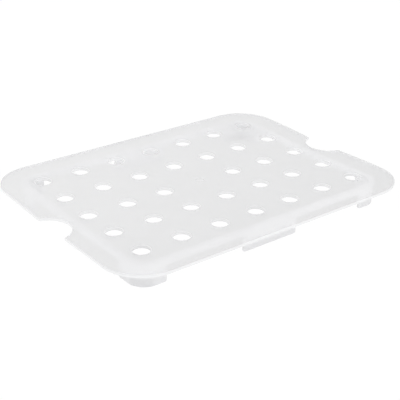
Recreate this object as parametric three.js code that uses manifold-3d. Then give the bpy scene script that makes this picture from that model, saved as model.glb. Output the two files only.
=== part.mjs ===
// Drain shelf that stands on the floor of a half-size food pan, moulded in natural polypropylene.
// A perforated deck with a flat flange all round stands on a short skirt, which deepens into six feet.
// Millimetres, +Z up, +X along the length, +Y to the rear.
// The origin is under the middle of the deck, on the surface that the feet stand on.

import * as THREE from 'three';
import { mergeVertices } from 'three/addons/utils/BufferGeometryUtils.js';
import Module from 'manifold-3d';

// Plate: the deck and the flange round it share one top face and one thickness
const PLATE_LENGTH = 269;
const PLATE_WIDTH = 204;
const PLATE_THICKNESS = 2.5;
const PLATE_CORNER_RADIUS = 33;
const OVERALL_HEIGHT = 19.5;

// Flange, from the plate's edge to the skirt's outer face
const END_FLANGE_WIDTH = 18.25;
const SIDE_FLANGE_WIDTH = 16.5;

// Skirt under the plate
const WALL_THICKNESS = 2.5;
const SKIRT_DEPTH = 4;
const SKIRT_CORNER_RADIUS = 14; // of the outer face

// Feet, where the skirt reaches down to the pan
const SIDE_FOOT_RUN = 9; // straight length of a corner foot past its curve, along a long side
const END_FOOT_RUN = 11; // the same along an end
const MIDDLE_FOOT_LENGTH = 50.5;

// Drain holes, on a square grid about the middle of the deck
const HOLE_DIAMETER = 12.7;
const HOLE_PITCH = 34;
const HOLE_MARGIN = 4; // least width of plate between a hole and the skirt

// Gate well: the shallow recess in the middle of the deck where the plastic entered the mould
const GATE_WELL_DIAMETER = 8;
const GATE_WELL_DEPTH = 0.8;

// Finger notches in the ends of the flange
const NOTCH_RADIUS = 18.5;
const NOTCH_DEPTH = 14.3;
const NOTCH_LIP_RADIUS = 2;
const NOTCH_FORWARD = 2.7; // from the middle of the end towards the front

// Facets of the round stretches
const HALF_CORNER_STEPS = 6; // in an eighth of a turn
const LIP_STEPS = 3;
const NOTCH_STEPS = 20;
const HOLE_SEGMENTS = 10; // pairs of facets round a hole
const WELL_SEGMENTS = 24;

const PLATE_COLOUR = 0xe6e6ea;
const FOOT_COLOUR = 0xdedee2;
const SATIN_ROUGHNESS = 0.45;

const plateUnderside = OVERALL_HEIGHT - PLATE_THICKNESS;
const skirtBottom = plateUnderside - SKIRT_DEPTH;

const plateHalf = new THREE.Vector2(PLATE_LENGTH / 2, PLATE_WIDTH / 2);
const skirtHalf = plateHalf.clone().sub(new THREE.Vector2(END_FLANGE_WIDTH, SIDE_FLANGE_WIDTH));
const seamHalf = skirtHalf.clone().subScalar(WALL_THICKNESS / 2);
const innerHalf = skirtHalf.clone().subScalar(WALL_THICKNESS);

// The four sides, anticlockwise from the front; corner k lies before side k
const SIDES = ['front', 'right', 'rear', 'left'];
const CORNERS = ['front_left', 'front_right', 'rear_right', 'rear_left'];
const CORNER_SIGNS = [[-1, -1], [1, -1], [1, 1], [-1, 1]];

const wasm = await Module();
wasm.setup();

/** A point on a circle, at an angle from +X. */
function onCircle(x, y, radius, angle) {
  return new THREE.Vector2(x + radius * Math.cos(angle), y + radius * Math.sin(angle));
}

/** Points at even angles on an arc, both ends included. */
function arcPoints(x, y, radius, start, end, steps) {
  const step = (end - start) / steps;
  return Array.from({ length: steps + 1 }, (_, i) => onCircle(x, y, radius, start + step * i));
}

/** The four rounded corners of a rectangle, each a list of points, in the order of CORNERS. */
function roundedCorners(half, radius) {
  return CORNER_SIGNS.map(([signX, signY], k) => {
    const start = ((k + 2) * Math.PI) / 2;
    const x = signX * (half.x - radius);
    const y = signY * (half.y - radius);
    return arcPoints(x, y, radius, start, start + Math.PI / 2, 2 * HALF_CORNER_STEPS);
  });
}

/** A closed solid of one outline, from the height bottom to the height top. */
function slab(shape, bottom, top) {
  const options = { depth: top - bottom, bevelEnabled: false, curveSegments: HOLE_SEGMENTS };
  return new THREE.ExtrudeGeometry(shape, options).translate(0, 0, bottom);
}

/** A named sub-part in the moulding's plastic. */
function subPart(name, geometry, color) {
  const material = new THREE.MeshStandardMaterial({ color, roughness: SATIN_ROUGHNESS, metalness: 0 });
  const mesh = new THREE.Mesh(geometry, material);
  mesh.name = name;
  return mesh;
}

/** The solid that a closed geometry bounds, ready to be cut. */
function toSolid(geometry) {
  const bare = geometry.clone();
  bare.deleteAttribute('normal');
  bare.deleteAttribute('uv');
  const merged = mergeVertices(bare);
  const vertProperties = new Float32Array(merged.attributes.position.array);
  const triVerts = new Uint32Array(merged.index.array);
  return new wasm.Manifold(new wasm.Mesh({ numProp: 3, vertProperties, triVerts }));
}

/** The geometry of a solid, with flat faces. */
function toGeometry(solid) {
  const { vertProperties, triVerts } = solid.getMesh();
  const indexed = new THREE.BufferGeometry();
  indexed.setAttribute('position', new THREE.BufferAttribute(vertProperties, 3));
  indexed.setIndex(new THREE.BufferAttribute(triVerts, 1));
  const geometry = indexed.toNonIndexed();
  geometry.computeVertexNormals();
  return geometry;
}

const plateCorners = roundedCorners(plateHalf, PLATE_CORNER_RADIUS);
const seamCorners = roundedCorners(seamHalf, SKIRT_CORNER_RADIUS - WALL_THICKNESS / 2);
const skirtCorners = roundedCorners(skirtHalf, SKIRT_CORNER_RADIUS);
const innerCorners = roundedCorners(innerHalf, SKIRT_CORNER_RADIUS - WALL_THICKNESS);

/** Whole pitches that fit between the middle of the deck and the skirt's inner face. */
function pitchesWithin(half) {
  return Math.floor((half - HOLE_MARGIN - HOLE_DIAMETER / 2) / HOLE_PITCH);
}

/** The perforated deck, out to the middle of the skirt's wall, with the gate well for its middle hole. */
function drainDeck() {
  const shape = new THREE.Shape(seamCorners.flat());
  const columns = pitchesWithin(innerHalf.x);
  const rows = pitchesWithin(innerHalf.y);
  for (let column = -columns; column <= columns; column += 1) {
    for (let row = -rows; row <= rows; row += 1) {
      if (column === 0 && row === 0) continue;
      const hole = new THREE.Path();
      hole.absarc(column * HOLE_PITCH, row * HOLE_PITCH, HOLE_DIAMETER / 2, 0, 2 * Math.PI, true);
      shape.holes.push(hole);
    }
  }
  const plate = slab(shape, plateUnderside, OVERALL_HEIGHT);
  const wellRadius = GATE_WELL_DIAMETER / 2;
  const well = new THREE.CylinderGeometry(wellRadius, wellRadius, 2 * GATE_WELL_DEPTH, WELL_SEGMENTS);
  well.rotateX(Math.PI / 2);
  well.translate(0, 0, OVERALL_HEIGHT);
  return toGeometry(toSolid(plate).subtract(toSolid(well)));
}

/** The finger notch in the right end: a lip, a round bay and a lip, which touch with no corner between them. */
function notchPoints() {
  const lip = NOTCH_LIP_RADIUS;
  const lipX = plateHalf.x - lip;
  const bayX = plateHalf.x - NOTCH_DEPTH + NOTCH_RADIUS;
  const middle = -NOTCH_FORWARD;
  const turn = Math.acos((bayX - lipX) / (NOTCH_RADIUS + lip));
  const spread = (NOTCH_RADIUS + lip) * Math.sin(turn);
  const frontLip = arcPoints(lipX, middle - spread, lip, 0, turn, LIP_STEPS);
  const bay = arcPoints(bayX, middle, NOTCH_RADIUS, Math.PI + turn, Math.PI - turn, NOTCH_STEPS);
  const rearLip = arcPoints(lipX, middle + spread, lip, -turn, 0, LIP_STEPS);
  return [...frontLip, ...bay.slice(1, -1), ...rearLip];
}

/** The stretch of an outline along side k, from the middle of one corner to the middle of the next. */
function sidePoints(corners, k, inserted) {
  const next = corners[(k + 1) % corners.length];
  return [...corners[k].slice(HALF_CORNER_STEPS), ...inserted, ...next.slice(0, HALF_CORNER_STEPS + 1)];
}

/** One side of the flange, mitred to its neighbours at the middle of the corners. */
function flangeSide(k) {
  const rightNotch = notchPoints();
  const leftNotch = rightNotch.map(({ x, y }) => new THREE.Vector2(-x, y)).reverse();
  const inserted = { right: rightNotch, left: leftNotch }[SIDES[k]] ?? [];
  const outer = sidePoints(plateCorners, k, inserted);
  const inner = sidePoints(seamCorners, k, []).reverse();
  return slab(new THREE.Shape([...outer, ...inner]), plateUnderside, OVERALL_HEIGHT);
}

/** A corner foot: the skirt's wall round one corner, with a straight run at each end, down to the pan. */
function cornerFoot(k) {
  const [signX, signY] = CORNER_SIGNS[k];
  const alongSide = new THREE.Vector2(-signX * SIDE_FOOT_RUN, 0);
  const alongEnd = new THREE.Vector2(0, -signY * END_FOOT_RUN);
  const [before, after] = signX === signY ? [alongEnd, alongSide] : [alongSide, alongEnd];
  const withRuns = (points) => [points[0].clone().add(before), ...points, points.at(-1).clone().add(after)];
  const outer = withRuns(skirtCorners[k]);
  const inner = withRuns(innerCorners[k]).reverse();
  return slab(new THREE.Shape([...outer, ...inner]), 0, plateUnderside);
}

/** A straight length of wall between two corners given in plan, from the height bottom to the plate. */
function straightWall(x0, x1, y0, y1, bottom) {
  const wall = new THREE.BoxGeometry(x1 - x0, y1 - y0, plateUnderside - bottom);
  return wall.translate((x0 + x1) / 2, (y0 + y1) / 2, (bottom + plateUnderside) / 2);
}

const drainShelf = new THREE.Group();
drainShelf.name = 'drain_shelf';

drainShelf.add(subPart('drain_deck', drainDeck(), PLATE_COLOUR));
SIDES.forEach((side, k) => drainShelf.add(subPart(`${side}_flange`, flangeSide(k), PLATE_COLOUR)));
CORNERS.forEach((corner, k) => drainShelf.add(subPart(`${corner}_foot`, cornerFoot(k), FOOT_COLOUR)));

// Each long side has a middle foot, with a length of skirt between it and each corner foot
const footRun = new THREE.Vector2(SIDE_FOOT_RUN, END_FOOT_RUN);
const footEnd = skirtHalf.clone().subScalar(SKIRT_CORNER_RADIUS).sub(footRun);
const middleEnd = MIDDLE_FOOT_LENGTH / 2;
const longSides = [['front', -skirtHalf.y, -innerHalf.y], ['rear', innerHalf.y, skirtHalf.y]];
for (const [side, near, far] of longSides) {
  const foot = straightWall(-middleEnd, middleEnd, near, far, 0);
  const leftSkirt = straightWall(-footEnd.x, -middleEnd, near, far, skirtBottom);
  const rightSkirt = straightWall(middleEnd, footEnd.x, near, far, skirtBottom);
  drainShelf.add(subPart(`${side}_middle_foot`, foot, FOOT_COLOUR));
  drainShelf.add(subPart(`${side}_left_skirt`, leftSkirt, PLATE_COLOUR));
  drainShelf.add(subPart(`${side}_right_skirt`, rightSkirt, PLATE_COLOUR));
}

// Each end has one length of skirt between its corner feet
const ends = [['left', -skirtHalf.x, -innerHalf.x], ['right', innerHalf.x, skirtHalf.x]];
for (const [side, near, far] of ends) {
  const skirt = straightWall(near, far, -footEnd.y, footEnd.y, skirtBottom);
  drainShelf.add(subPart(`${side}_skirt`, skirt, PLATE_COLOUR));
}

export default drainShelf;
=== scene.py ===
"""The looks of a drain shelf for a food pan: one milky moulding, dressed member by member
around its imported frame."""

import bmesh
import bpy
import numpy as np
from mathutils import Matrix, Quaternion, Vector


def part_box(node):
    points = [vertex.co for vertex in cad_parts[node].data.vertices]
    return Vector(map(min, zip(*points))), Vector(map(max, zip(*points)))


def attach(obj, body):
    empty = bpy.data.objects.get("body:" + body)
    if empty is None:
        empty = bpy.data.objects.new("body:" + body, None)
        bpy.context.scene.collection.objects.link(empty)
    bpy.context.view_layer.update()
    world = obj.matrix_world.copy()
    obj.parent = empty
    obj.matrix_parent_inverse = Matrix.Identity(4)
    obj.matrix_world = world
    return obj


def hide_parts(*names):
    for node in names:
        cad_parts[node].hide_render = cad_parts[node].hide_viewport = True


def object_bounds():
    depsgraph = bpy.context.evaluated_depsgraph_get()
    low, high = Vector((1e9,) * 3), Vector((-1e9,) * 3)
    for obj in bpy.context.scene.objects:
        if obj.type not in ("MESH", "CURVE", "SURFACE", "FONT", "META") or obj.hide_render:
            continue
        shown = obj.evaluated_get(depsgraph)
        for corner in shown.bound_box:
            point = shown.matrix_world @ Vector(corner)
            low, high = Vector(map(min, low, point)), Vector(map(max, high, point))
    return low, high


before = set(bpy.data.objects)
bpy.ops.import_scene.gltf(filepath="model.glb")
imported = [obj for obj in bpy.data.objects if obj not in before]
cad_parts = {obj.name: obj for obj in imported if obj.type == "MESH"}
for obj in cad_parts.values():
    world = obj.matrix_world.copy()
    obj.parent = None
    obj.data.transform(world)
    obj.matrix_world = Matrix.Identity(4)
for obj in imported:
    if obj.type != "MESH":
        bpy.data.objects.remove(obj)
cad_box = [[float(v) for v in corner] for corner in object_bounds()]


# Drain deck. The middle of the moulding: a plate of milky polypropylene, pierced by rows of round drain
# holes. In its middle is a shallow well with the nub that the mould's gate leaves, and all round it
# runs on into the flange over the middle of the walls, with no joint in the plastic.

MM = 0.001  # the pieces' sizes are in mm, those of floor, lamps and camera in m
deck_low, deck_high = (np.round(np.array(corner) / MM, 3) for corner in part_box("drain_deck"))
UNDERSIDE, TOP = deck_low[2], deck_high[2]
SEAM_HALF = deck_high[:2]  # the seam is the line over the middle of the walls
SEAM_RADIUS = 12.75
WALL = 2.5
WALL_FILLET = 1.0
HOLE_COLUMNS, HOLE_ROWS = 7, 5
HOLE_PITCH = 34.0
HOLE_RADIUS = 6.35
HOLE_EDGE = 0.5
HOLE_RIM = 0.5  # how far a hole's bore takes an outer edge's density and painted shade
GATE_RADIUS = 4.0
GATE_DEPTH = 0.8
GATE_EDGE = 0.4
NUB_RADIUS, NUB_HEIGHT = 0.9, 0.4
NUB_SHAPE = np.array([(0, 1), (0.6, 1), (0.9, 0.8), (1, 0)])  # half section, in shares of radius and height
BORDER_HALF = np.array([109.3, 76.5])  # where the holes' cells end and the plain border starts
CELL_STEPS = 16  # on each side of a cell
CELL_SHARES = np.arange(CELL_STEPS) / CELL_STEPS
CELL_START = np.radians(-135)  # bearing of a cell's first corner
ARC_STEPS = 12  # in an eighth of a turn
QUARTER = np.linspace(0, np.pi / 2, 5)  # the turn of a small rounding
FLAT = 0.3  # strip beside a rounding that keeps the flat face's shading flat
SHARP = np.radians(35)  # an edge that bends by more is shaded sharp
WELD = 1e-6  # distance in m within which points are one
END_FOOT_END = round(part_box("rear_right_foot")[0].y / MM, 3)
SAG = 1.3  # half way between the corner feet of an end

PLASTIC_DEEP = (0.74, 0.74, 0.75, 1)
PLASTIC_PALE = (0.978, 0.978, 0.986, 1)
PLASTIC_TONE = 0.73  # from 0 for deep to 1 for pale
# RIM_PAINTED_SHADE darkens rounded edges and hole bores: a painted shade
CLOUD_TONE, STREAK_TONE, RIM_PAINTED_SHADE = 0.21, 0.13, 0.15
RIM_DENSITY = 0.75
ROUGHNESS, WAVE_ROUGHNESS, GRAIN_ROUGHNESS = 0.34, 0.12, 0.06
STREAKS, CLOUDS, WAVES, GRAIN = (9.0, 3.0), (28.0, 3.0), (120.0, 1.0), (1900.0, 2.0)  # scale and detail
NOISE_MEAN = 0.5
WAVE_RELIEF = 0.6  # against the grain's
RELIEF_STRENGTH, RELIEF_DEPTH = 0.08, 0.2 * MM
PLASTIC_IOR = 1.49
PLATE_ALPHA = 0.3


class Signal:
    """A socket in a material's nodes. Sums and products of signals and plain numbers add Math nodes."""

    def __init__(self, tree, socket=None):
        self.tree, self.socket = tree, socket

    def node(self, kind, settings=(), inputs=(), output=0):
        """Adds a node, sets its settings and then its sockets' values or links, and gives one output."""
        made = self.tree.nodes.new(kind)
        for key, value in dict(settings).items():
            setattr(made, key, value)
        for key, value in dict(inputs).items():
            if isinstance(value, Signal):
                self.tree.links.new(value.socket, made.inputs[key])
            else:
                made.inputs[key].default_value = value
        return Signal(self.tree, made.outputs[output])

    def math(self, operation, *values):
        """A Math node on these signals and numbers."""
        return self.node("ShaderNodeMath", {"operation": operation}, enumerate(values))

    def __add__(self, other):
        return self.math("ADD", self, other)

    def __sub__(self, other):
        return self.math("SUBTRACT", self, other)

    def __rsub__(self, other):
        return self.math("SUBTRACT", other, self)

    def __mul__(self, other):
        return self.math("MULTIPLY", self, other)

    __radd__, __rmul__ = __add__, __mul__


def noise(vector, scale, detail):
    """Noise at a vector, from 0 to 1 about a mean of a half."""
    values = {"Vector": vector, "Scale": scale, "Detail": detail}
    return vector.node("ShaderNodeTexNoise", inputs=values)


def milky_plastic(name, alpha, shading=None):
    """Translucent polypropylene. Its tone is a mean, plus clouds by place and streaks by the direction of
    the flow out of the gate, less a painted shade, a share of the rim on rounded edges, where the plastic is
    also denser. A shading turns (place, rim attribute, tone, density) into another tone and density."""
    material = bpy.data.materials.new(name)
    material.use_nodes = True
    tree = material.node_tree
    shader = tree.nodes["Principled BSDF"]
    place = Signal(tree).node("ShaderNodeTexCoord", output="Object")
    flow = place.node("ShaderNodeVectorMath", {"operation": "NORMALIZE"}, {0: place})
    streaks = noise(flow, *STREAKS)
    clouds, waves, grain = (noise(place, *kind) for kind in (CLOUDS, WAVES, GRAIN))
    edge = place.node("ShaderNodeAttribute", {"attribute_name": "rim"}, output="Fac")
    rim = edge.math("MAXIMUM", edge, 0.0)
    mottle = CLOUD_TONE * (clouds - NOISE_MEAN) + STREAK_TONE * (streaks - NOISE_MEAN)
    # the rim's share is a painted shade along rounded edges and hole bores
    tone = PLASTIC_TONE + mottle - RIM_PAINTED_SHADE * rim
    density = RIM_DENSITY * rim
    if shading:
        tone, density = shading(place, edge, tone, density)
    mixing = {"data_type": "RGBA", "clamp_factor": True}
    shades = {0: tone, 6: PLASTIC_DEEP, 7: PLASTIC_PALE}  # a Mix node's factor and its two colours
    colour = tone.node("ShaderNodeMix", mixing, shades, output=2)
    rough = ROUGHNESS + WAVE_ROUGHNESS * (waves - NOISE_MEAN) + GRAIN_ROUGHNESS * (grain - NOISE_MEAN)
    height = grain + WAVE_RELIEF * waves
    relief = {"Strength": RELIEF_STRENGTH, "Distance": RELIEF_DEPTH, "Height": height}
    finish = {
        "Base Color": colour,
        "Roughness": rough,
        "Alpha": alpha + (1 - alpha) * density,
        "Normal": height.node("ShaderNodeBump", inputs=relief),
    }
    for socket, signal in finish.items():
        tree.links.new(signal.socket, shader.inputs[socket])
    shader.inputs["IOR"].default_value = PLASTIC_IOR
    return material


def inside_plastic():
    """Where two members of the moulding run into each other there is no surface: these faces are clear."""
    material = bpy.data.materials.new("inside_plastic")
    material.use_nodes = True
    material.node_tree.nodes["Principled BSDF"].inputs["Alpha"].default_value = 0
    return material


def mould(name, material, sheets, loops=()):
    """Welds one closed member. A sheet is (points[row, column, xyz] in mm, rim[row], inside), with rows
    that run outwards over the top and columns anticlockwise from above. A loop is (points, rim[point],
    inside), one flat face. The rim attribute is above 0 on rounded edges and below 0 on a wall's root, and
    inside marks clear faces. Between the feet at the ends the moulding sags, by a cosine squared across
    its width."""
    places, rims, faces, kinds, count = [], [], [], [], 0
    for points, rim, inside in sheets:
        rows, columns = points.shape[:2]
        index = count + np.arange(rows * columns).reshape(rows, columns)
        quads = np.stack([index[:-1, :-1], index[1:, :-1], index[1:, 1:], index[:-1, 1:]], -1).reshape(-1, 4)
        places.append(points.reshape(-1, 3))
        rims.append(np.repeat(np.broadcast_to(rim, rows), columns))
        faces += quads.tolist()
        kinds += [int(inside)] * len(quads)
        count += rows * columns
    for points, rim, inside in loops:
        places.append(points)
        rims.append(rim)
        faces.append(list(range(count, count + len(points))))
        kinds.append(int(inside))
        count += len(points)
    places = np.concatenate(places)
    places[:, 2] -= SAG * np.cos(np.pi / 2 * np.clip(places[:, 1] / END_FOOT_END, -1, 1)) ** 2
    mesh = bpy.data.meshes.new(name)
    mesh.from_pydata(places * MM, [], faces)
    mesh.attributes.new("rim", "FLOAT", "POINT").data.foreach_set("value", np.concatenate(rims))
    mesh.materials.append(material)
    mesh.materials.append(INSIDE)
    mesh.polygons.foreach_set("material_index", kinds)
    weld = bmesh.new()
    weld.from_mesh(mesh)
    bmesh.ops.remove_doubles(weld, verts=weld.verts, dist=WELD)
    bmesh.ops.recalc_face_normals(weld, faces=weld.faces)
    weld.to_mesh(mesh)
    weld.free()
    mesh.shade_smooth()
    mesh.set_sharp_from_angle(angle=SHARP)
    member = bpy.data.objects.new(name, mesh)
    bpy.context.scene.collection.objects.link(member)
    return member


def side_path(half_along, half_out, radius, straight):
    """One side of a rounded rectangle, from the middle of one corner to the middle of the next: half an arc,
    the straight's points and half an arc. Gives (along, out) points and their outward normals."""
    turn = np.linspace(0, np.pi / 4, ARC_STEPS + 1)
    arc = np.stack([np.sin(turn), np.cos(turn)], -1)
    bend = [half_along - radius, half_out - radius] + radius * arc
    line = np.stack([straight, np.full(len(straight), half_out)], -1)
    square = np.broadcast_to([0.0, 1.0], line.shape)
    points = np.concatenate([(bend * [-1, 1])[::-1], line, bend])
    return points, np.concatenate([(arc * [-1, 1])[::-1], square, arc])


def turned(points, side):
    """(along, out) points on side 0 right, 1 rear, 2 left or 3 front, turned by that many quarter turns
    into x and y."""
    cosine, sine = [(1, 0), (0, 1), (-1, 0), (0, -1)][side]
    along, out = points[..., 0], points[..., 1]
    return np.stack([out * cosine - along * sine, out * sine + along * cosine], -1)


def raised(points, height):
    """x and y points with a height as their third value."""
    return np.concatenate([points, np.broadcast_to(height, points.shape[:-1])[..., None]], -1)


def closed(points):
    """A ring of points, along the last axis but one, with its first point repeated at the end."""
    return np.concatenate([points, points[..., :1, :]], -2)


def cell_outline(low, high):
    """A rectangle between two corners, in even steps along each side, anticlockwise from the low corner."""
    corners = np.array([low, (high[0], low[1]), high, (low[0], high[1])])
    sides = np.roll(corners, -1, axis=0) - corners
    return (corners[:, None] + CELL_SHARES[:, None] * sides[:, None]).reshape(-1, 2)


def cell_circles(centre, radii, heights):
    """Circles of the given radii and heights about a centre, one row each, with one point for each of a
    cell's outline, on even bearings."""
    bearing = CELL_START + np.linspace(0, 2 * np.pi, 4 * CELL_STEPS, endpoint=False)
    circle = np.stack([np.cos(bearing), np.sin(bearing)], -1)
    return raised(centre + np.asarray(radii)[:, None, None] * circle, np.asarray(heights)[:, None])


INSIDE = inside_plastic()
plate_finish = milky_plastic("milky_plate", PLATE_ALPHA)

# Half sections of a hole, from the underside up, and of the gate's well, from its middle out
hole_round = HOLE_RADIUS + HOLE_EDGE * (1 - np.sin(QUARTER))
hole_drop = HOLE_EDGE * (1 - np.cos(QUARTER))
hole_brim = HOLE_RADIUS + HOLE_EDGE + FLAT
hole_radii = [hole_brim, *hole_round, *hole_round[::-1], hole_brim]
hole_heights = [UNDERSIDE, *(UNDERSIDE + hole_drop), *(TOP - hole_drop[::-1]), TOP]
hole_rims = [0, 0, *[HOLE_RIM] * (len(hole_radii) - 2), 0, 0]
nub = NUB_SHAPE * [NUB_RADIUS, NUB_HEIGHT]
well_floor = TOP - GATE_DEPTH
well_round = GATE_RADIUS + GATE_EDGE * (1 - np.sin(QUARTER[::-1]))
well_drop = GATE_EDGE * (1 - np.cos(QUARTER[::-1]))
well_brim = GATE_RADIUS + GATE_EDGE + FLAT
well_radii = [*nub[:, 0], NUB_RADIUS + FLAT, GATE_RADIUS - GATE_EDGE, *well_round, well_brim]
well_heights = [*(well_floor + nub[:, 1]), well_floor, well_floor, *(TOP - well_drop), TOP]

# Each cell is a rectangle round one hole or the well, and the border runs from the cells to the flange
lines = [
    np.clip((np.arange(count + 1) - count / 2) * HOLE_PITCH, -half, half)
    for count, half in zip((HOLE_COLUMNS, HOLE_ROWS), BORDER_HALF)
]
deck_sheets = []
for column in range(HOLE_COLUMNS):
    for row in range(HOLE_ROWS):
        (x0, x1), (y0, y1) = lines[0][column : column + 2], lines[1][row : row + 2]
        centre = (np.array([column, row]) - [(HOLE_COLUMNS - 1) / 2, (HOLE_ROWS - 1) / 2]) * HOLE_PITCH
        cell = cell_outline((x0, y0), (x1, y1))
        low, high = raised(cell, UNDERSIDE)[None], raised(cell, TOP)[None]
        if (column, row) == (HOLE_COLUMNS // 2, HOLE_ROWS // 2):
            under = cell_circles(centre, [0], [UNDERSIDE])
            well = cell_circles(centre, well_radii, well_heights)
            deck_sheets.append((closed(np.concatenate([low, under])), 0, False))
            deck_sheets.append((closed(np.concatenate([well, high])), 0, False))
        else:
            bore = cell_circles(centre, hole_radii, hole_heights)
            deck_sheets.append((closed(np.concatenate([low, bore, high])), hole_rims, False))

inner_line, seam_line, inner_edge = [], [], []
for side, count in ((3, HOLE_COLUMNS), (0, HOLE_ROWS), (1, HOLE_COLUMNS), (2, HOLE_ROWS)):
    axis = 0 if side % 2 else 1  # the one that the side runs along
    cells = lines[axis]
    steps = np.concatenate([cells[k] + CELL_SHARES * (cells[k + 1] - cells[k]) for k in range(count)])
    inner_line.append(turned(np.stack([steps, np.full(len(steps), BORDER_HALF[1 - axis])], -1), side))
    reach = SEAM_HALF[axis] - SEAM_RADIUS
    straight = np.linspace(-reach, reach, len(steps) - 2 * ARC_STEPS + 1)[1:-1]
    seam, normals = side_path(SEAM_HALF[axis], SEAM_HALF[1 - axis], SEAM_RADIUS, straight)
    seam_line.append(turned(seam, side)[:-1])
    inner_edge.append(turned(seam - (WALL / 2 + WALL_FILLET) * normals, side)[:-1])
inner_line, seam_line, inner_edge = (
    closed(np.concatenate(part)) for part in (inner_line, seam_line, inner_edge)
)
seam_rows = [raised(seam_line, TOP), raised(seam_line, UNDERSIDE), raised(inner_edge, UNDERSIDE)]
deck_sheets += [
    (np.stack([raised(inner_line, TOP), raised(seam_line, TOP)]), 0, False),
    (np.stack(seam_rows), 0, True),
    (np.stack([raised(inner_edge, UNDERSIDE), raised(inner_line, UNDERSIDE)]), 0, False),
]
deck = mould("moulded_drain_deck", plate_finish, deck_sheets)
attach(deck, "root")
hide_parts("drain_deck")


# Flanges. The plate's flat margin outside the walls, moulded with the deck and divided into four at its
# corners. Each short end has a finger notch to lift the shelf by. All edges are rounded, and the outer
# edge is denser to the eye, where light gathers in it, and carries a painted shade.

PLATE_HALF = np.round(np.array(cad_box[1][:2]) / MM, 3)
PLATE_RADIUS = 33.0
PLATE_EDGE = 0.6
LOWER_EDGE = 0.4
END_PLACES, LONG_PLACES = np.linspace(-60, 60, 33), np.linspace(-95, 95, 13)  # along the straight of a side
NOTCH_RADIUS = 18.5
NOTCH_DEPTH = 14.3
NOTCH_LIP = 2.0
NOTCH_FORWARD = 2.7
NOTCH_CLEAR = 1.0  # least distance from the notch to the next place
LIP_STEPS, BAY_STEPS = 5, 18
SIDE_NAMES = ["right", "rear", "left", "front"]


def notch_outline(side):
    """The notch in a short end, a little nearer the front than its middle: a round bay, and at each side a
    rounded lip that touches the bay and the edge. The two circles' centres are both radii apart, which gives
    the turn of each arc. Gives its (along, out) points and their outward normals, from lip to lip."""
    lip_out = PLATE_HALF[0] - NOTCH_LIP
    bay_out = PLATE_HALF[0] - NOTCH_DEPTH + NOTCH_RADIUS
    turn = np.arccos((bay_out - lip_out) / (NOTCH_RADIUS + NOTCH_LIP))
    bend, sweep = np.linspace(0, turn, LIP_STEPS + 1)[:-1], np.linspace(turn, 0, BAY_STEPS + 1)
    lip_facing, bay_facing = (np.stack([-np.sin(angle), np.cos(angle)], -1) for angle in (bend, sweep))
    lip = [(NOTCH_RADIUS + NOTCH_LIP) * np.sin(turn), lip_out] + NOTCH_LIP * lip_facing
    bay = [0, bay_out] - NOTCH_RADIUS * bay_facing
    points, normals = np.concatenate([lip, bay]), np.concatenate([lip_facing, bay_facing])
    mirror = [-1, 1]
    shift = [(side - 1) * NOTCH_FORWARD, 0]
    return (
        np.concatenate([points * mirror, points[-2::-1]]) + shift,
        np.concatenate([normals * mirror, normals[-2::-1]]),
    )


def flange_sheets(side):
    """A flange's section carried along its side: from the seam out over the top, round the plate's edge by
    two quarter rounds, and back underneath to the walls' fillet."""
    axis = 0 if side % 2 else 1
    straight = END_PLACES if axis else LONG_PLACES
    if axis:
        notch, facing = notch_outline(side)
        beside = straight[straight > np.abs(notch[:, 0]).max() + NOTCH_CLEAR]
        straight = np.concatenate([-beside[::-1], notch[:, 0], beside])
    seam, across = side_path(SEAM_HALF[axis], SEAM_HALF[1 - axis], SEAM_RADIUS, straight)
    edge, normals = side_path(PLATE_HALF[axis], PLATE_HALF[1 - axis], PLATE_RADIUS, straight)
    if axis:
        first = ARC_STEPS + 1 + len(beside)
        bay = slice(first, first + len(notch))
        edge[bay], normals[bay] = notch, facing
    rows = [(seam, TOP, 0), (edge - (PLATE_EDGE + FLAT) * normals, TOP, 0)]
    for turn in QUARTER:
        inset, drop = PLATE_EDGE * (1 - np.sin(turn)), PLATE_EDGE * (1 - np.cos(turn))
        rows.append((edge - inset * normals, TOP - drop, np.sin(turn) ** 2))
    for turn in QUARTER:
        inset, rise = LOWER_EDGE * (1 - np.cos(turn)), LOWER_EDGE * (1 - np.sin(turn))
        rows.append((edge - inset * normals, UNDERSIDE + rise, 1))
    rows.append((edge - (LOWER_EDGE + FLAT) * normals, UNDERSIDE, 0))
    rows.append((seam + (WALL / 2 + WALL_FILLET) * across, UNDERSIDE, 0))
    shown = np.stack([raised(turned(points, side), height) for points, height, _ in rows])
    under = raised(turned(seam, side), UNDERSIDE)
    ends = [np.concatenate([shown[:, end], under[None, end]]) for end in (0, -1)]
    rims = [rim for *_, rim in rows]
    return (
        [(shown, rims, False), (np.stack([shown[-1], under, shown[0]]), 0, True)],
        [(end, [*rims, 0], True) for end in ends],
    )


for side, where in enumerate(SIDE_NAMES):
    flange = mould(f"moulded_{where}_flange", plate_finish, *flange_sheets(side))
    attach(flange, "root")
    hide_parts(f"{where}_flange")


# Skirt. The shallow wall under the plate that stiffens it between the feet, moulded with them to one
# thickness. It runs into the plate with a fillet, and into the end of each foot with another. The clear
# plate lifts the sight of its root, so the root is made that much higher, inside the plate.

SKIRT_LOW = round(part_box("right_skirt")[0].z / MM, 3)
SIDE_FOOT_END = round(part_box("rear_right_foot")[0].x / MM, 3)
MIDDLE_FOOT_END = round(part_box("rear_middle_foot")[1].x / MM, 3)
WALL_EDGE = 0.6
SINK = 0.02  # of the fillets' tips below the plate's underside
ROOT_HEIGHT = 1.0
FOOT_FILLET = 1.5
LONG_SKIRT_STEPS, END_SKIRT_STEPS = 3, 29
# on a wall's lower rounded edge, which gives it density and a painted shade
EDGE_RIM = 0.4
ROOT_RIM, FILLET_RIM = -1.0, -0.4  # in the plate, and at the fillets' lower ends; below 0 a root is opaque and gets painted light
WALL_ALPHA = 0.95
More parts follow.
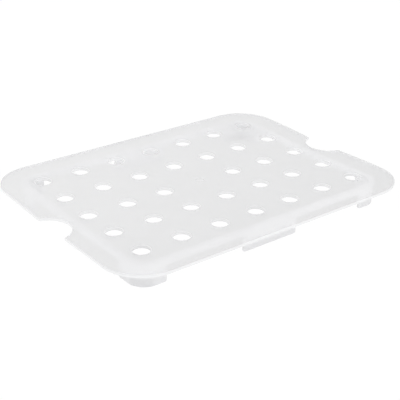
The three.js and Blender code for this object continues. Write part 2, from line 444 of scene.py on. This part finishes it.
# Painted shade over the walls, more at the floor and in the bends, and painted light at their roots
WALL_SHADE = 0.2
ROOT_PAINTED_LIGHT = 0.15
FOOT_SHADE, FOOT_FADE = 0.25, (3.0, 11.0)  # added at the floor, and the heights over which it goes
BEND_SHADE, BEND_SPAN = (1.0, 2.2), (0.0, 5.0)  # times that, as a wall goes into its bend


def ramp(signal, span, levels):
    """A smooth step between two levels, as a length goes over a span in mm."""
    ends = {"From Min": span[0] * MM, "From Max": span[1] * MM, "To Min": levels[0], "To Max": levels[1]}
    settings = {"interpolation_type": "SMOOTHSTEP"}
    return signal.node("ShaderNodeMapRange", settings, {"Value": signal, **ends})


def wall_shading(place, edge, tone, density):
    """Walls get a painted shade, deeper in tone than the plate, more so down to the floor, and most in the
    corners' bends, where both x and y are past the straight. Their roots, where the rim is below 0, are
    opaque and painted paler, a painted light."""
    reach = [place.node("ShaderNodeSeparateXYZ", inputs={0: place}, output=axis) for axis in range(3)]
    straight = ((SEAM_HALF - SEAM_RADIUS) * MM).tolist()
    past = [r.math("ABSOLUTE", r) - length for r, length in zip(reach, straight)]
    x, y = (p.math("MAXIMUM", p, 0.0) for p in past)
    bend = x.math("MINIMUM", x, y)
    # painted shade, deeper down to the floor and in the bends, and painted light on the root
    painted_shade = ramp(reach[2], FOOT_FADE, (FOOT_SHADE, 0.0)) * ramp(bend, BEND_SPAN, BEND_SHADE)
    root = edge.math("MAXIMUM", 0.0 - edge, 0.0)
    return tone - WALL_SHADE - painted_shade + ROOT_PAINTED_LIGHT * root, density + root


wall_finish = milky_plastic("milky_walls", WALL_ALPHA, wall_shading)


def rounding(distance, radius):
    """How far a quarter round of this radius stands back from its face at a distance from its end: the
    radius less the height of a circle of that radius, at what the distance lacks of the radius."""
    short = radius - np.minimum(distance, radius)
    return radius - np.sqrt(radius**2 - short**2)


def wall_sheets(path, across, half, low, level, ends_inside):
    """A wall's section carried along a path of x and y points: a root in the plate, on both sides a fillet
    under the plate and a face, and a rounded lower edge. half is its half thickness below the level, and
    low the height of its lower edge."""
    turn = QUARTER[:, None]
    flat = np.zeros((1, len(low)))
    face = np.concatenate([
        WALL / 2 + WALL_FILLET + flat,
        WALL / 2 + WALL_FILLET * (1 - np.sin(turn)) + flat,
        WALL / 2 + flat,
        half + flat,
        half - WALL_EDGE * (1 - np.cos(turn)),
    ])
    drop = np.concatenate([
        UNDERSIDE + ROOT_HEIGHT + flat,
        UNDERSIDE - SINK - WALL_FILLET * (1 - np.cos(turn)) + flat,
        level + flat,
        level - WALL_EDGE + flat,
        low + WALL_EDGE * (1 - np.sin(turn)),
    ])
    offsets, heights = np.concatenate([face, -face[::-1]]), np.concatenate([drop, drop[::-1]])
    shown = raised(path + offsets[..., None] * across, heights)
    bend, count = len(QUARTER), len(shown)
    root = bend + 1
    rim = np.zeros(count)
    rim[count // 2 - bend : count // 2 + bend] = EDGE_RIM
    rim[:root] = [ROOT_RIM, *np.linspace(ROOT_RIM, FILLET_RIM, bend)]
    rim[-root:] = rim[:root][::-1]
    top, below = np.r_[: root + 1, count - root - 1 : count], np.r_[root : count - root]
    loops = []
    for section in (shown[:, 0], shown[:, -1]):
        loops += [(section[top], rim[top], True), (section[below], rim[below], ends_inside)]
    return [(shown, rim, False), (np.stack([shown[-1], shown[0]]), ROOT_RIM, False)], loops


def eased(start, end, ease, between):
    """Places from start to end: at a cosine's steps over the rounding at both ends, and even between."""
    near = ease * (1 - np.cos(QUARTER))
    middle = np.linspace(start + ease, end - ease, between + 2)[1:-1]
    return np.concatenate([start + near, middle, end - near[::-1]])


def straight_wall(side, places):
    """Points at these places along the walls' middle line on one side, and their outward normals."""
    points = np.stack([places, np.full(len(places), SEAM_HALF[side % 2])], -1)
    return turned(points, side), turned(np.broadcast_to([0.0, 1.0], points.shape), side)


long_span = eased(MIDDLE_FOOT_END, SIDE_FOOT_END, FOOT_FILLET, LONG_SKIRT_STEPS)
end_span = eased(-END_FOOT_END, END_FOOT_END, FOOT_FILLET, END_SKIRT_STEPS)
skirts = {
    "rear_left_skirt": (1, long_span),
    "rear_right_skirt": (1, -long_span[::-1]),
    "front_right_skirt": (3, long_span),
    "front_left_skirt": (3, -long_span[::-1]),
    "right_skirt": (0, end_span),
    "left_skirt": (2, end_span),
}
for node, (side, places) in skirts.items():
    gap = np.minimum(places - places[0], places[-1] - places)
    sheets = wall_sheets(
        *straight_wall(side, places),
        half=np.full(len(places), WALL / 2),
        low=SKIRT_LOW - rounding(gap, FOOT_FILLET),
        level=(UNDERSIDE + SKIRT_LOW) / 2,
        ends_inside=True,
    )
    skirt = mould(f"moulded_{node}", wall_finish, *sheets)
    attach(skirt, "root")
    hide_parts(node)


# Corner feet. At each corner the wall goes down to the pan's floor and turns the corner in one bend.
# They carry the shelf, are part of the same moulding, and are rounded at their lower edge and ends.

FOOT_ROUND = 1.5
RUN_STEPS = 2  # in a foot's straight
JOIN_LEVEL = SKIRT_LOW - FOOT_FILLET + WALL_EDGE
CORNER_NAMES = ["rear_right", "rear_left", "front_left", "front_right"]


def foot_sheets(path, across, gap):
    """A foot's wall along a path, where gap is the distance to its nearer end."""
    return wall_sheets(
        path,
        across,
        half=WALL / 2 - rounding(gap, WALL_EDGE),
        low=rounding(gap, FOOT_ROUND),
        level=JOIN_LEVEL,
        ends_inside=False,
    )


for side, where in enumerate(CORNER_NAMES):
    axis = 0 if side % 2 else 1
    first_end, last_end = (END_FOOT_END, SIDE_FOOT_END) if axis else (SIDE_FOOT_END, END_FOOT_END)
    bend_along, bend_out = SEAM_HALF[axis] - SEAM_RADIUS, SEAM_HALF[1 - axis] - SEAM_RADIUS
    first = eased(first_end, bend_along + FOOT_ROUND, FOOT_ROUND, RUN_STEPS)[: -len(QUARTER)]
    last = eased(last_end, bend_out + FOOT_ROUND, FOOT_ROUND, RUN_STEPS)[: -len(QUARTER)][::-1]
    turn = np.linspace(0, np.pi / 2, 2 * ARC_STEPS + 1)
    arc = np.stack([np.sin(turn), np.cos(turn)], -1)
    path = np.concatenate([
        np.stack([first, np.full(len(first), SEAM_HALF[1 - axis])], -1),
        [bend_along, bend_out] + SEAM_RADIUS * arc,
        np.stack([np.full(len(last), SEAM_HALF[axis]), last], -1),
    ])
    across = np.concatenate([
        np.broadcast_to([0.0, 1.0], (len(first), 2)),
        arc,
        np.broadcast_to([1.0, 0.0], (len(last), 2)),
    ])
    gap = np.concatenate([first - first_end, np.full(len(arc), FOOT_ROUND), last - last_end])
    sheets = foot_sheets(turned(path, side), turned(across, side), gap)
    foot = mould(f"moulded_{where}_foot", wall_finish, *sheets)
    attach(foot, "root")
    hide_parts(f"{where}_foot")


# Middle feet. Half way along each long side the wall goes down to the pan's floor once more and keeps the
# long sides level. Each is a straight length of the same moulding, rounded as the corner feet are.

MIDDLE_STEPS = 5

middle_span = eased(-MIDDLE_FOOT_END, MIDDLE_FOOT_END, FOOT_ROUND, MIDDLE_STEPS)
for side, where in ((1, "rear"), (3, "front")):
    gap = np.minimum(middle_span + MIDDLE_FOOT_END, MIDDLE_FOOT_END - middle_span)
    sheets = foot_sheets(*straight_wall(side, middle_span), gap)
    foot = mould(f"moulded_{where}_middle_foot", wall_finish, *sheets)
    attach(foot, "root")
    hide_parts(f"{where}_middle_foot")


# Floor and light. A plain pale floor, white to the eye, with a painted shadow of the shelf where it is
# seen through the plastic, deeper to the right and front, and with a faint glow up into the moulding. A big
# soft lamp overhead, one in front and an even white surround light it, at a level at which the plastic
# shows about its own colour.

FLOOR_HALF = 4.0
FLOOR_COLOUR = (0.9, 0.9, 0.9, 1)
FLOOR_WHITE = 0.95  # share of plain white that the eye sees, the rest is lit paint and keeps the shadow
SHADOWED_FLOOR_LEVEL = 0.7  # level seen through the plastic at the middle, a painted shadow of the shelf
SHADOW_FALL = (0.15, -0.25, 0.0)  # how much deeper the painted shadow gets for each metre in x and y
SHADOW_FALL_LIMIT = 0.1
FLOOR_GLOW = 0.33
WHITE = (1, 1, 1, 1)
SURROUND_HIGH, SURROUND_LOW = 0.83, 0.93  # straight up, and at the horizon
LAMPS = {  # place, size and power
    "overhead_lamp": ((-0.35, 0.35, 1.3), 1.2, 2.5),
    "front_lamp": ((0.5, -1.3, 0.9), 0.9, 1.5),
}


def seen(tree):
    """1 for a ray from the camera, by a mirror or through glass, and 0 for light on its way to a surface."""
    kinds = ("Is Camera Ray", "Is Glossy Ray", "Is Transmission Ray")
    camera, mirror, glass = (Signal(tree).node("ShaderNodeLightPath", output=kind) for kind in kinds)
    return camera.math("MAXIMUM", camera.math("MAXIMUM", camera, mirror), glass)


floor_mesh = bpy.data.meshes.new("floor")
corners = np.array([[-1, -1], [1, -1], [1, 1], [-1, 1]]) * FLOOR_HALF
floor_mesh.from_pydata(raised(corners, 0.0).tolist(), [], [[0, 1, 2, 3]])
floor = bpy.data.objects.new("floor", floor_mesh)
bpy.context.scene.collection.objects.link(floor)
floor_paint = bpy.data.materials.new("floor_paint")
floor_paint.use_nodes = True
tree = floor_paint.node_tree
tree.nodes.remove(tree.nodes["Principled BSDF"])
sight = seen(tree)
layers = sight.node("ShaderNodeLightPath", output="Transparent Depth")
spot = sight.node("ShaderNodeTexCoord", output="Object")
# painted shadow of the shelf on the floor seen through the plastic, deeper to the right and front
shadow_fall = spot.node("ShaderNodeVectorMath", {"operation": "DOT_PRODUCT"}, {0: spot, 1: SHADOW_FALL}, "Value")
shadow_fall = shadow_fall.math("MINIMUM", shadow_fall.math("MAXIMUM", shadow_fall, -SHADOW_FALL_LIMIT), SHADOW_FALL_LIMIT)
level = 1 - (1 - SHADOWED_FLOOR_LEVEL + shadow_fall) * layers.math("MINIMUM", layers, 1.0)
matt = sight.node("ShaderNodeBsdfDiffuse", inputs={"Color": FLOOR_COLOUR})
white = sight.node("ShaderNodeEmission", inputs={"Color": WHITE, "Strength": level})
glow = sight.node("ShaderNodeEmission", inputs={"Color": WHITE, "Strength": FLOOR_GLOW})
lit = sight.node("ShaderNodeAddShader", inputs={0: matt, 1: glow})
paint = sight.node("ShaderNodeMixShader", inputs={0: sight * FLOOR_WHITE, 1: lit, 2: white})
tree.links.new(paint.socket, tree.nodes["Material Output"].inputs["Surface"])
floor_mesh.materials.append(floor_paint)

scene = bpy.context.scene
scene.view_settings.view_transform = "Standard"
scene.world = bpy.data.worlds.new("surround")
scene.world.use_nodes = True
tree = scene.world.node_tree
sight = seen(tree)
direction = sight.node("ShaderNodeTexCoord", output="Generated")
climb = direction.node("ShaderNodeSeparateXYZ", inputs={0: direction}, output="Z")
level = 1 - climb.math("ABSOLUTE", climb)
light = SURROUND_HIGH + (SURROUND_LOW - SURROUND_HIGH) * level * level
strength = sight + (1 - sight) * light
tree.nodes["Background"].inputs["Color"].default_value = WHITE
tree.links.new(strength.socket, tree.nodes["Background"].inputs["Strength"])
for name, (place, size, power) in LAMPS.items():
    lamp = bpy.data.lights.new(name, "AREA")
    lamp.size, lamp.energy = size, power
    holder = bpy.data.objects.new(name, lamp)
    holder.location = place
    holder.rotation_euler = (-Vector(place)).to_track_quat("-Z", "Y").to_euler()
    scene.collection.objects.link(holder)


# Camera. It looks down on the front left corner from the photograph's angle, a little rolled, through a
# long lens with everything in focus.

CAMERA_PLACE = Vector((-0.40125, -0.51365, 0.31794))
CAMERA_AIM = Vector((-0.02297, -0.03041, 0.0195))
CAMERA_ROLL = np.radians(0.902)
CAMERA_LENS = 81.56
CAMERA_NEAR = 0.01

camera = bpy.data.objects.new("camera", bpy.data.cameras.new("camera"))
camera.data.lens = CAMERA_LENS
camera.data.clip_start = CAMERA_NEAR
camera.location = CAMERA_PLACE
facing = (CAMERA_AIM - CAMERA_PLACE).to_track_quat("-Z", "Y")
camera.rotation_euler = (facing @ Quaternion((0, 0, 1), CAMERA_ROLL)).to_euler()
scene.collection.objects.link(camera)
scene.camera = camera
